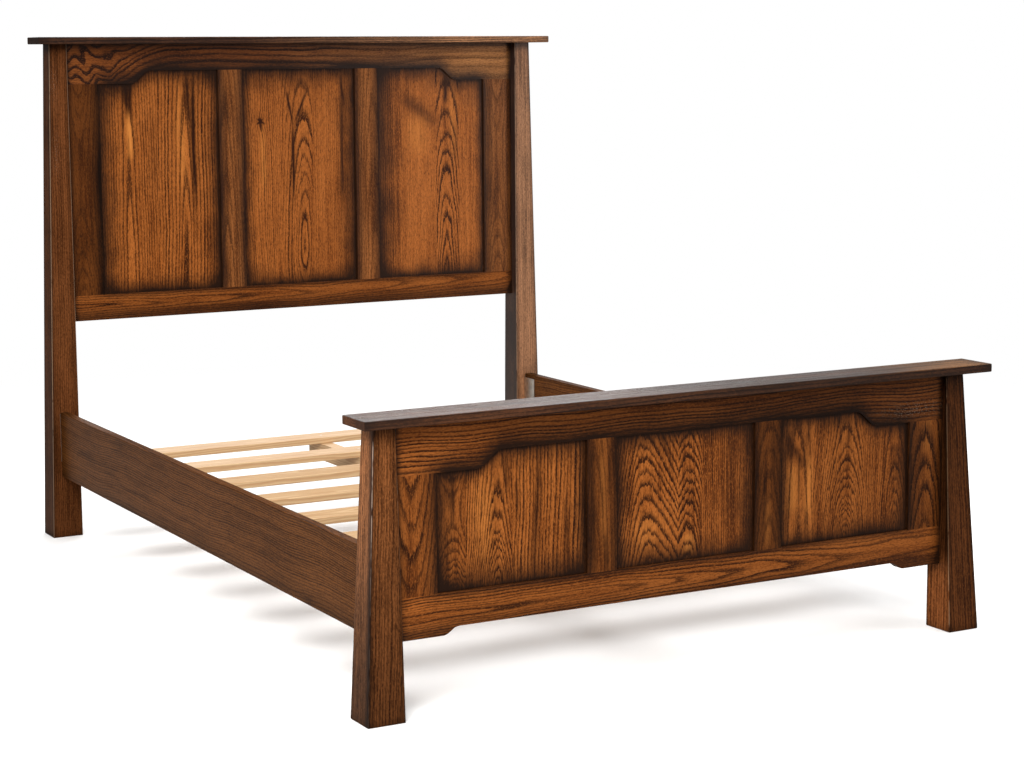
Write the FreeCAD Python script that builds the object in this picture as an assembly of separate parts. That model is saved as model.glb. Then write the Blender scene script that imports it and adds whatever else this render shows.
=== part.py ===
import FreeCAD, Part
import math
import os

V = FreeCAD.Vector

# ---------------------------------------------------------------- dimensions (mm)
# overall
HEAD_HEIGHT = 1456.0          # floor to top of headboard cap
FOOT_HEIGHT = 656.0           # floor to top of footboard cap
CAP_THICK = 20.0
CAP_HALF = 830.5              # half the cap length
CAP_DEPTH = 111.0
CAP_EASE = 3.0

# posts: two outward faces taper, the faces toward frame and mattress are plumb
POST_INNER = 734.0            # half the distance between the posts
POST_BOTTOM = 89.0            # square at the floor
POST_TOP_W = 52.0             # across the bed, at the top
POST_TOP_D = 58.0             # along the bed, at the top
POST_EASE = 2.5
FOOT_FACE_Y = -1026.0         # plumb face of the footboard posts, toward the mattress
HEAD_FACE_Y = 1048.0          # plumb face of the headboard posts, toward the mattress

# framed boards
FRAME_T = 22.0
FOOT_FRAME_Y = -1073.0        # front face of the footboard frame
HEAD_FRAME_Y = 1076.0         # front face of the headboard frame
STILE_W = 99.0
MULLION_W = 76.0
ARCH_LOW_H = 115.0            # top rail height at its ends
ARCH_HIGH_H = 77.0            # top rail height along its middle
ARCH_X_LOW = 540.0            # where the curve leaves the low line
ARCH_X_HIGH = 471.0           # where the curve meets the high line
ARCH_SLOPE = 42.0             # steepest slope of the curve, degrees
FOOT_PANEL_Z = 258.0          # top edge of footboard bottom rail
SKIRT_LOW_Z = 165.0           # lower edge of that rail at its ends
SKIRT_HIGH_Z = 182.0          # lower edge along its middle
SKIRT_X_LOW = 624.0
SKIRT_X_HIGH = 582.0
SKIRT_SLOPE = 35.0
HEAD_PANEL_Z = 706.0          # top edge of headboard bottom rail
HEAD_RAIL_Z = 632.0           # lower edge of headboard bottom rail
GROOVE_W = 8.0
GROOVE_D = 10.0
TONGUE = 9.0                  # panel tongue, leaves room for the wood to swell
STUB = 9.5                    # stub tenons of stiles and mullions
PANEL_SET = 7.0               # panel face behind frame face
PANEL_BACK = 6.0              # panel field behind its tongue
PANEL_GAP = 1.5
TENON_L = 30.0
TENON_T = 10.0
TENON_SHOULDER = 15.0
MORTISE_EXTRA = 1.5

# cap dowels
DOWEL_D = 10.0
DOWEL_IN_CAP = 13.0
DOWEL_IN_RAIL = 24.0
DOWEL_ROOM = 1.0
DOWEL_RAIL_X = (-600.0, -300.0, 0.0, 300.0, 600.0)
DOWEL_POST_X = 40.0           # from the post inner face, clear of the rail tenon

# side rails
RAIL_BOTTOM = 181.0
RAIL_TOP = 371.0
RAIL_OUT = 790.5
RAIL_T = 25.0
RAIL_GAP = 0.5                # between rail end and post face
RAIL_EASE = 2.5

# slats, cleats and centre support
CLEAT_T = 25.0
CLEAT_H = 38.0
CLEAT_HALF = 985.0
SLAT_BOTTOM = 228.0
SLAT_T = 19.0
SLAT_W = 89.0
SLAT_HALF = 762.0
SLAT_COUNT = 8
SLAT_PITCH = 272.0
BEAM_W = 38.0
BEAM_H = 50.0
BEAM_HALF = 1000.0
LEG_W = 45.0
LEG_BOTTOM = 26.0
LEG_OFFSET = 360.0
LEG_BOLT_D = 8.0
LEG_BOLT_L = 66.0

# knock-down rail fasteners
PLATE_T = 3.0
PLATE_W = 26.0
PLATE_Z = (226.0, 367.0)
PLATE_SCREW_Z = (234.0, 298.0, 359.0)
HOOK_Z = (258.0, 322.0)       # underside of each hook at rest
HOOK_T = 4.0
HOOK_H = 14.0
HOOK_DROP = 12.0
HOOK_LIP = 6.0
HOOK_PLAY = 0.4
HOOK_SEAT = 0.3
SLOT_W = 5.2
SLOT_H = 28.0
POCKET_W = 8.0
POCKET_D = 15.0
BRACKET_T = 3.0
BRACKET_Z = (250.0, 358.0)
BRACKET_L = 62.0
BRACKET_SCREW_Z = (268.0, 340.0)
BRACKET_SCREW_Y = (20.0, 46.0)

# levelers
INSERT_R = 7.0
INSERT_L = 22.0
INSERT_BORE = 5.05
STEM_R = 5.0
STEM_TOP = 62.0
STEM_BORE_TOP = 73.0
HEX_AF = 17.0
HEX_Z = (9.5, 16.0)
NECK_R = 4.0
NECK_BOTTOM = 4.0
PAD_R = 18.0
PAD_H = 9.0
PAD_BORE = 4.05
PAD_BORE_BOTTOM = 3.7

MID_Y = (FOOT_FACE_Y + HEAD_FACE_Y) / 2.0
PANEL_W = (2.0 * (POST_INNER - STILE_W) - 2.0 * MULLION_W) / 3.0
STILE_IN = POST_INNER - STILE_W
MUL_IN = PANEL_W / 2.0
MUL_OUT = MUL_IN + MULLION_W

os.makedirs("parts", exist_ok=True)


# ---------------------------------------------------------------- shape helpers
def save(name, shape):
    shape.exportStep("parts/%s.step" % name)


def box(x0, x1, y0, y1, z0, z1):
    lo = V(min(x0, x1), min(y0, y1), min(z0, z1))
    return Part.makeBox(abs(x1 - x0), abs(y1 - y0), abs(z1 - z0), lo)


def wedge(points, sweep):
    """Prism from a closed flat outline, swept along a vector."""
    return Part.Face(Part.makePolygon(points + [points[0]])).extrude(sweep)


def ease(shape, radius, pick):
    edges = [e for e in shape.Edges if pick(e)]
    return shape.makeFillet(radius, edges)


def along(axis, tol=0.06):
    def pick(e):
        a, b = e.Vertexes[0].Point, e.Vertexes[-1].Point
        d = b.sub(a)
        return d.Length > 1e-6 and abs(d.normalize().dot(axis)) > 1.0 - tol
    return pick


def mirror_x(shape):
    return shape.mirror(V(0, 0, 0), V(1, 0, 0))


def s_curve(x0, z0, x1, z1, slope_deg):
    """Two equal arcs joined by a short straight, level at both ends."""
    run, rise = abs(x1 - x0), abs(z1 - z0)
    sx = 1.0 if x1 > x0 else -1.0
    sz = 1.0 if z1 > z0 else -1.0
    t = math.radians(slope_deg)
    s, c = math.sin(t), math.cos(t)
    r = (run * s - c * rise) / (2.0 * (1.0 - c))
    h = t / 2.0

    def p(x, z):
        return V(x, 0, z)
    a0 = p(x0, z0)
    a1 = p(x0 + sx * r * math.sin(h), z0 + sz * r * (1 - math.cos(h)))
    a2 = p(x0 + sx * r * s, z0 + sz * r * (1 - c))
    b0 = p(x1 - sx * r * s, z1 - sz * r * (1 - c))
    b1 = p(x1 - sx * r * math.sin(h), z1 - sz * r * (1 - math.cos(h)))
    b2 = p(x1, z1)
    return [Part.Arc(a0, a1, a2).toShape(), Part.makeLine(a2, b0), Part.Arc(b0, b1, b2).toShape()]


def arch_line(half, x_low, x_high, z_low, z_high, slope, dz=0.0):
    """Edge of a shaped rail: low at both ends, high along the middle."""
    zl, zh = z_low + dz, z_high + dz
    e = [Part.makeLine(V(-half, 0, zl), V(-x_low, 0, zl))]
    e += s_curve(-x_low, zl, -x_high, zh, slope)
    e += [Part.makeLine(V(-x_high, 0, zh), V(x_high, 0, zh))]
    e += s_curve(x_high, zh, x_low, zl, slope)
    e += [Part.makeLine(V(x_low, 0, zl), V(half, 0, zl))]
    return e


def close_face(edges, extra):
    return Part.Face(Part.Wire(Part.__sortEdges__(edges + extra)))


def region(edges, half, z_edge, z_far, y0, y1):
    """Solid between a shaped edge and a straight line."""
    lines = [Part.makeLine(V(half, 0, z_edge), V(half, 0, z_far)),
             Part.makeLine(V(half, 0, z_far), V(-half, 0, z_far)),
             Part.makeLine(V(-half, 0, z_far), V(-half, 0, z_edge))]
    f = close_face(edges, lines)
    f.translate(V(0, y0, 0))
    return f.extrude(V(0, y1 - y0, 0))


def band(edges_a, edges_b, half, za, zb, y0, y1):
    """Solid between two shaped edges of the same kind."""
    lines = [Part.makeLine(V(half, 0, za), V(half, 0, zb)),
             Part.makeLine(V(-half, 0, zb), V(-half, 0, za))]
    f = close_face(edges_a + edges_b, lines)
    f.translate(V(0, y0, 0))
    return f.extrude(V(0, y1 - y0, 0))


def one(shape):
    s = shape.removeSplitter()
    return s.Solids[0] if len(s.Solids) == 1 else s


def screw(point, direction, head_r, shank_r, length, head_h):
    """Flat-head wood screw, head flush at the point, pointing along direction."""
    d = V(direction)
    d.normalize()
    head = Part.makeCone(head_r, shank_r, head_h, point, d)
    shank = Part.makeCylinder(shank_r, length - head_h - shank_r * 1.5, point.add(V(d).multiply(head_h)), d)
    tip = Part.makeCone(shank_r, 0.3, shank_r * 1.5, point.add(V(d).multiply(length - shank_r * 1.5)), d)
    return one(head.fuse([shank, tip]))


# ---------------------------------------------------------------- posts and caps
def post(side, height, y_plumb, y_dir):
    """side is +1 right, -1 left; y_dir points from the plumb face outward."""
    b, w, d = POST_BOTTOM, POST_TOP_W, POST_TOP_D
    s = Part.makeBox(b, b, height)
    side_cut = wedge([V(b, -5, 0), V(b + 20, -5, 0), V(b + 20, -5, height), V(w, -5, height)], V(0, b + 10, 0))
    face_cut = wedge([V(-5, b, 0), V(-5, b + 20, 0), V(-5, b + 20, height), V(-5, d, height)], V(b + 10, 0, 0))
    s = one(s.cut([side_cut, face_cut]))
    s = ease(s, POST_EASE, along(V(0, 0, 1)))
    foot = [e for e in s.Edges if max(v.Point.z for v in e.Vertexes) < 0.01]
    s = s.makeChamfer(1.5, foot)
    if side < 0:
        s = s.mirror(V(0, 0, 0), V(1, 0, 0))
    if y_dir < 0:
        s = s.mirror(V(0, 0, 0), V(0, 1, 0))
    s.translate(V(side * POST_INNER, y_plumb, 0))
    return s


def cap(y0, z0):
    s = box(-CAP_HALF, CAP_HALF, y0, y0 + CAP_DEPTH, z0, z0 + CAP_THICK)
    return s.makeFillet(CAP_EASE, s.Edges)


# ---------------------------------------------------------------- one framed board
def board(prefix, total_height, y_plumb, y_dir, y_frame, z_panel, bottom_rail_kind):
    """Builds the posts, cap, frame and panels of one board; returns them by name."""
    out = {}
    z_cap = total_height - CAP_THICK
    z_low, z_high = z_cap - ARCH_LOW_H, z_cap - ARCH_HIGH_H
    yf, yb = y_frame, y_frame + FRAME_T
    yc = y_frame + FRAME_T / 2.0
    g0, g1 = yc - GROOVE_W / 2.0, yc + GROOVE_W / 2.0
    t0, t1 = yc - TENON_T / 2.0, yc + TENON_T / 2.0

    # top rail: shaped lower edge, groove along it, tenon at each end
    def arch(dz, half=POST_INNER):
        return arch_line(half, ARCH_X_LOW, ARCH_X_HIGH, z_low, z_high, ARCH_SLOPE, dz)
    top_rail = region(arch(0.0), POST_INNER, z_low, z_cap, yf, yb)
    groove = band(arch(-1.0), arch(GROOVE_D), POST_INNER, z_low - 1.0, z_low + GROOVE_D, g0, g1)
    top_rail = top_rail.cut(groove)
    tenon_top = (z_low + TENON_SHOULDER, z_cap - TENON_SHOULDER)
    tenons = [box(s * POST_INNER, s * (POST_INNER + TENON_L), t0, t1, *tenon_top) for s in (-1, 1)]
    top_rail = one(top_rail.fuse(tenons))

    # bottom rail
    if bottom_rail_kind == "shaped":
        edge = arch_line(POST_INNER, SKIRT_X_LOW, SKIRT_X_HIGH, SKIRT_LOW_Z, SKIRT_HIGH_Z, SKIRT_SLOPE)
        bottom_rail = region(edge, POST_INNER, SKIRT_LOW_Z, z_panel, yf, yb)
        tenon_bot = (SKIRT_LOW_Z + TENON_SHOULDER, z_panel - TENON_SHOULDER)
    else:
        bottom_rail = box(-POST_INNER, POST_INNER, yf, yb, HEAD_RAIL_Z, z_panel)
        tenon_bot = (HEAD_RAIL_Z + 12.0, z_panel - 14.0)
    bottom_rail = bottom_rail.cut(box(-POST_INNER, POST_INNER, g0, g1, z_panel - GROOVE_D, z_panel + 1.0))
    tenons = [box(s * POST_INNER, s * (POST_INNER + TENON_L), t0, t1, *tenon_bot) for s in (-1, 1)]
    bottom_rail = one(bottom_rail.fuse(tenons))

    # stiles beside the posts: groove for the panel, tongue into the post, stubs into the rails
    def stile(side):
        a, b = STILE_IN, POST_INNER
        s = box(a, b, yf, yb, z_panel, z_low)
        s = s.cut(box(a - 1.0, a + GROOVE_D, g0, g1, z_panel - 1.0, z_low + 1.0))
        s = s.fuse([box(a + GROOVE_D, b, g0, g1, z_panel - STUB, z_low + STUB),
                    box(b - 1.0, b + STUB, g0, g1, z_panel, z_low)])
        s = one(s)
        return s if side > 0 else mirror_x(s)

    # mullions between the panels
    def mullion(side):
        a, b = MUL_IN, MUL_OUT
        s = box(a, b, yf, yb, z_panel, z_high)
        s = s.cut([box(a - 1.0, a + GROOVE_D, g0, g1, z_panel - 1.0, z_high + 1.0),
                   box(b - GROOVE_D, b + 1.0, g0, g1, z_panel - 1.0, z_high + 1.0)])
        s = s.fuse(box(a + GROOVE_D, b - GROOVE_D, g0, g1, z_panel - STUB, z_high + STUB))
        s = one(s)
        return s if side > 0 else mirror_x(s)

    # flat panels: tongue all round held in the grooves, thicker field toward the back
    tongue_all = region(arch(TONGUE), POST_INNER, z_low + TONGUE, z_panel - TONGUE, g0, g1)
    field_all = region(arch(-PANEL_GAP), POST_INNER, z_low - PANEL_GAP, z_panel + PANEL_GAP, g1 - 1.0, g1 + PANEL_BACK)

    def panel(x0, x1):
        t = tongue_all.common(box(x0 - TONGUE, x1 + TONGUE, g0 - 1, g1 + 1, 0, total_height))
        f = field_all.common(box(x0 + PANEL_GAP, x1 - PANEL_GAP, g0 - 1, g1 + 20, 0, total_height))
        return one(t.fuse(f))

    # posts with mortises for both rails and a groove for the stile
    posts = {}
    for side, word in ((-1, "left"), (1, "right")):
        p = post(side, z_cap, y_plumb, y_dir)
        deep = POST_INNER + TENON_L + MORTISE_EXTRA
        cuts = [box(side * (POST_INNER - 5.0), side * deep, t0, t1, *tenon_top),
                box(side * (POST_INNER - 5.0), side * deep, t0, t1, *tenon_bot),
                box(side * (POST_INNER - 5.0), side * (POST_INNER + GROOVE_D), g0, g1, z_panel, z_low)]
        posts[word] = p.cut(cuts)

    # cap, dowelled to the top rail and the posts
    y_cap = y_plumb if y_dir < 0 else y_plumb + POST_TOP_D + 2.0
    the_cap = cap(y_cap - CAP_DEPTH, z_cap)
    y_post_mid = y_plumb + y_dir * POST_TOP_D / 2.0
    spots = [(x, yc) for x in DOWEL_RAIL_X]
    spots += [(s * (POST_INNER + DOWEL_POST_X), y_post_mid) for s in (-1, 1)]
    dowels = []
    holes = []
    for x, y in spots:
        d = Part.makeCylinder(DOWEL_D / 2.0, DOWEL_IN_CAP + DOWEL_IN_RAIL, V(x, y, z_cap - DOWEL_IN_RAIL))
        ends = [e for e in d.Edges if e.Curve.TypeId == "Part::GeomCircle"]
        dowels.append(d.makeChamfer(1.0, ends))
        holes.append(Part.makeCylinder(DOWEL_D / 2.0, DOWEL_IN_CAP + DOWEL_IN_RAIL + 2 * DOWEL_ROOM,
                                       V(x, y, z_cap - DOWEL_IN_RAIL - DOWEL_ROOM)))
    the_cap = the_cap.cut(holes)
    top_rail = top_rail.cut(holes[:len(DOWEL_RAIL_X)])
    posts["left"] = posts["left"].cut(holes[-2])
    posts["right"] = posts["right"].cut(holes[-1])

    out[prefix + "_post_left"] = posts["left"]
    out[prefix + "_post_right"] = posts["right"]
    out[prefix + "_cap"] = the_cap
    out[prefix + "_top_rail"] = top_rail
    out[prefix + "_bottom_rail"] = bottom_rail
    out[prefix + "_stile_left"] = stile(-1)
    out[prefix + "_stile_right"] = stile(1)
    out[prefix + "_mullion_left"] = mullion(-1)
    out[prefix + "_mullion_right"] = mullion(1)
    out[prefix + "_panel_left"] = panel(-STILE_IN, -MUL_OUT)
    out[prefix + "_panel_center"] = panel(-MUL_IN, MUL_IN)
    out[prefix + "_panel_right"] = panel(MUL_OUT, STILE_IN)
    out[prefix + "_cap_dowels"] = Part.makeCompound(dowels)
    return out


parts = {}
parts.update(board("headboard", HEAD_HEIGHT, HEAD_FACE_Y, 1.0, HEAD_FRAME_Y, HEAD_PANEL_Z, "straight"))
parts.update(board("footboard", FOOT_HEIGHT, FOOT_FACE_Y, -1.0, FOOT_FRAME_Y, FOOT_PANEL_Z, "shaped"))

# ---------------------------------------------------------------- slotted plates in the posts
HOOK_X = RAIL_OUT - RAIL_T / 2.0
for prefix, y_face, y_dir in (("headboard", HEAD_FACE_Y, 1.0), ("footboard", FOOT_FACE_Y, -1.0)):
    screws = []
    for side, word in ((-1, "left"), (1, "right")):
        x0, x1 = side * HOOK_X - PLATE_W / 2.0, side * HOOK_X + PLATE_W / 2.0
        plate = box(x0, x1, y_face, y_face + y_dir * PLATE_T, *PLATE_Z)
        recess = plate.copy()
        pockets = []
        slots = []
        for h in HOOK_Z:
            slots.append(box(side * HOOK_X - SLOT_W / 2.0, side * HOOK_X + SLOT_W / 2.0,
                             y_face - y_dir, y_face + y_dir * (PLATE_T + 1.0), h - HOOK_SEAT, h + SLOT_H))
            pockets.append(box(side * HOOK_X - POCKET_W / 2.0, side * HOOK_X + POCKET_W / 2.0,
                               y_face, y_face + y_dir * POCKET_D, h - HOOK_DROP - 2.0, h + SLOT_H + 2.0))
        mine = [screw(V(side * HOOK_X, y_face, z), V(0, y_dir, 0), 4.2, 2.2, 32.0, 3.0) for z in PLATE_SCREW_Z]
        screws += mine
        parts["%s_slot_plate_%s" % (prefix, word)] = plate.cut(slots + mine)
        name = "%s_post_%s" % (prefix, word)
        parts[name] = parts[name].cut([recess] + pockets + mine)
    parts[prefix + "_plate_screws"] = Part.makeCompound(screws)

# ---------------------------------------------------------------- side rails, cleats, brackets
y_foot_end = FOOT_FACE_Y + RAIL_GAP
y_head_end = HEAD_FACE_Y - RAIL_GAP
rail_in = RAIL_OUT - RAIL_T
bracket_screws = []
cleat_screws = []
for side, word in ((-1, "left"), (1, "right")):
    rail = box(side * rail_in, side * RAIL_OUT, y_foot_end, y_head_end, RAIL_BOTTOM, RAIL_TOP)
    rail = ease(rail, RAIL_EASE, along(V(0, 1, 0)))
    cleat = box(side * (rail_in - CLEAT_T), side * rail_in, MID_Y - CLEAT_HALF, MID_Y + CLEAT_HALF,
                SLAT_BOTTOM - CLEAT_H, SLAT_BOTTOM)
    mine = []
    for i in range(8):
        y = MID_Y + (i - 3.5) * 256.0
        mine.append(screw(V(side * (rail_in - CLEAT_T), y, SLAT_BOTTOM - CLEAT_H / 2.0), V(side, 0, 0),
                          4.2, 2.2, 40.0, 3.0))
    cleat_screws += mine
    parts["slat_cleat_" + word] = cleat.cut(mine)
    rail = rail.cut(mine)

    for y_end, y_dir, where in ((y_head_end, 1.0, "head"), (y_foot_end, -1.0, "foot")):
        flange = box(side * (rail_in - BRACKET_T), side * rail_in, y_end - y_dir * BRACKET_L, y_end, *BRACKET_Z)
        leg = box(side * (rail_in - BRACKET_T), side * (RAIL_OUT - 3.5), y_end - y_dir * BRACKET_T, y_end, *BRACKET_Z)
        hooks = []
        reach = RAIL_GAP + PLATE_T + HOOK_PLAY
        for h in HOOK_Z:
            pts = [(-BRACKET_T, h), (reach, h), (reach, h - HOOK_DROP), (reach + HOOK_LIP - 2.0, h - HOOK_DROP),
                   (reach + HOOK_LIP, h - HOOK_DROP + 3.0), (reach + HOOK_LIP, h + HOOK_H - 4.0),
                   (reach + HOOK_LIP - 4.0, h + HOOK_H), (-BRACKET_T, h + HOOK_H)]
            ring = [V(side * HOOK_X - HOOK_T / 2.0, y_end + y_dir * u, z) for u, z in pts]
            hooks.append(Part.Face(Part.makePolygon(ring + [ring[0]])).extrude(V(HOOK_T, 0, 0)))
        bracket = one(flange.fuse([leg] + hooks))
        mine = []
        for dy in BRACKET_SCREW_Y:
            for z in BRACKET_SCREW_Z:
                mine.append(screw(V(side * (rail_in - BRACKET_T), y_end - y_dir * dy, z), V(side, 0, 0),
                                  4.2, 2.2, 22.0, 3.0))
        bracket_screws += mine
        parts["rail_hook_bracket_%s_%s" % (where, word)] = bracket.cut(mine)
        rail = rail.cut([box(side * rail_in, side * (RAIL_OUT - 3.5), y_end - y_dir * BRACKET_T, y_end, *BRACKET_Z)] + mine)
    parts["side_rail_" + word] = rail
parts["rail_bracket_screws"] = Part.makeCompound(bracket_screws)
parts["slat_cleat_screws"] = Part.makeCompound(cleat_screws)

# ---------------------------------------------------------------- centre beam, legs and slats
beam_z = SLAT_BOTTOM - BEAM_H
beam = box(-BEAM_W / 2.0, BEAM_W / 2.0, MID_Y - BEAM_HALF, MID_Y + BEAM_HALF, beam_z, SLAT_BOTTOM)
slat_screws = []
for i in range(SLAT_COUNT):
    y = MID_Y + (i - (SLAT_COUNT - 1) / 2.0) * SLAT_PITCH
    slat = box(-SLAT_HALF, SLAT_HALF, y - SLAT_W / 2.0, y + SLAT_W / 2.0, SLAT_BOTTOM, SLAT_BOTTOM + SLAT_T)
    slat = ease(slat, 2.0, along(V(1, 0, 0)))
    mine = [screw(V(x, y, SLAT_BOTTOM + SLAT_T), V(0, 0, -1), 4.2, 2.2, 42.0, 3.0)
            for x in (-(rail_in - CLEAT_T / 2.0), 0.0, rail_in - CLEAT_T / 2.0)]
    slat_screws += mine
    parts["slat_%d" % (i + 1)] = slat.cut(mine)
    beam = beam.cut(mine[1])
    parts["slat_cleat_left"] = parts["slat_cleat_left"].cut(mine[0])
    parts["slat_cleat_right"] = parts["slat_cleat_right"].cut(mine[2])
parts["slat_screws"] = Part.makeCompound(slat_screws)

bolts = []
inserts = []
for y, where in ((MID_Y + LEG_OFFSET, "head"), (MID_Y - LEG_OFFSET, "foot")):
    leg = box(-LEG_W / 2.0, LEG_W / 2.0, y - LEG_W / 2.0, y + LEG_W / 2.0, LEG_BOTTOM, beam_z)
    leg = ease(leg, 3.0, along(V(0, 0, 1)))
    bolt = Part.makeCylinder(LEG_BOLT_D / 2.0, LEG_BOLT_L, V(0, y, beam_z - LEG_BOLT_L / 2.0))
    bolts.append(bolt)
    hole = Part.makeCylinder(LEG_BOLT_D / 2.0, LEG_BOLT_L + 2.0, V(0, y, beam_z - LEG_BOLT_L / 2.0 - 1.0))
    sleeve = Part.makeCylinder(INSERT_R, INSERT_L, V(0, y, LEG_BOTTOM))
    bore = Part.makeCylinder(INSERT_BORE, INSERT_L + 2.0, V(0, y, LEG_BOTTOM - 1.0))
    inserts.append(sleeve.cut(bore))
    room = Part.makeCylinder(INSERT_BORE + 0.4, STEM_BORE_TOP - LEG_BOTTOM, V(0, y, LEG_BOTTOM))
    parts["centre_leg_" + where] = leg.cut([hole, sleeve, room])
    beam = beam.cut(hole)

    stem = Part.makeCylinder(STEM_R, STEM_TOP - HEX_Z[0], V(0, y, HEX_Z[0]))
    stem = stem.makeChamfer(1.0, [e for e in stem.Edges if e.BoundBox.ZMin > STEM_TOP - 0.01])
    neck = Part.makeCylinder(NECK_R, HEX_Z[0] - NECK_BOTTOM + 1.0, V(0, y, NECK_BOTTOM))
    corner = HEX_AF / math.sqrt(3.0)
    ring = [V(corner * math.cos(math.radians(60 * k)), y + corner * math.sin(math.radians(60 * k)), HEX_Z[0])
            for k in range(6)]
    hexa = Part.Face(Part.makePolygon(ring + [ring[0]])).extrude(V(0, 0, HEX_Z[1] - HEX_Z[0]))
    parts["leveler_stem_" + where] = one(hexa.fuse([stem, neck]))
    pad = Part.makeCylinder(PAD_R, PAD_H, V(0, y, 0))
    pad = pad.makeFillet(2.5, [e for e in pad.Edges if e.BoundBox.ZMin > PAD_H - 0.01])
    pad = pad.makeChamfer(0.8, [e for e in pad.Edges if e.BoundBox.ZMax < 0.01])
    parts["leveler_pad_" + where] = pad.cut(Part.makeCylinder(PAD_BORE, PAD_H, V(0, y, PAD_BORE_BOTTOM)))
parts["centre_beam"] = beam
parts["leg_bolts"] = Part.makeCompound(bolts)
parts["leg_inserts"] = Part.makeCompound(inserts)

# ---------------------------------------------------------------- write every piece
for name in sorted(parts):
    shape = parts[name]
    if len(shape.Solids) == 1:
        shape = shape.Solids[0]
    print("%-34s solids %2d  volume %12.1f  valid %s" % (name, len(shape.Solids), shape.Volume, shape.isValid()))
    save(name, shape)
print(len(parts), "nodes")
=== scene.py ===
import math

import bpy
from mathutils import Matrix, Vector

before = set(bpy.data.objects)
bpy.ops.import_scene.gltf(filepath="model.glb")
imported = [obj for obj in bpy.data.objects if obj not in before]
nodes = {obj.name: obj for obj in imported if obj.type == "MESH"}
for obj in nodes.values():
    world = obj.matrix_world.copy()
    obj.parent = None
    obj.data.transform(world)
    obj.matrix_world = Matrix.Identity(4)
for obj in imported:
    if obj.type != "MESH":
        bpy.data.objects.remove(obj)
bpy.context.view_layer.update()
scene = bpy.context.scene


# ---------------------------------------------------------------- shader maths
class V:
    """A number in a shader: a socket, or a constant that is folded before it becomes a node."""

    def __init__(self, g, x):
        self.g, self.x = g, x

    def __add__(self, o):
        return self.g.m("ADD", self, o)

    def __radd__(self, o):
        return self.g.m("ADD", o, self)

    def __sub__(self, o):
        return self.g.m("SUBTRACT", self, o)

    def __rsub__(self, o):
        return self.g.m("SUBTRACT", o, self)

    def __mul__(self, o):
        return self.g.m("MULTIPLY", self, o)

    def __rmul__(self, o):
        return self.g.m("MULTIPLY", o, self)

    def __truediv__(self, o):
        return self.g.m("DIVIDE", self, o)

    def __neg__(self):
        return self.g.m("MULTIPLY", self, -1.0)


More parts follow.
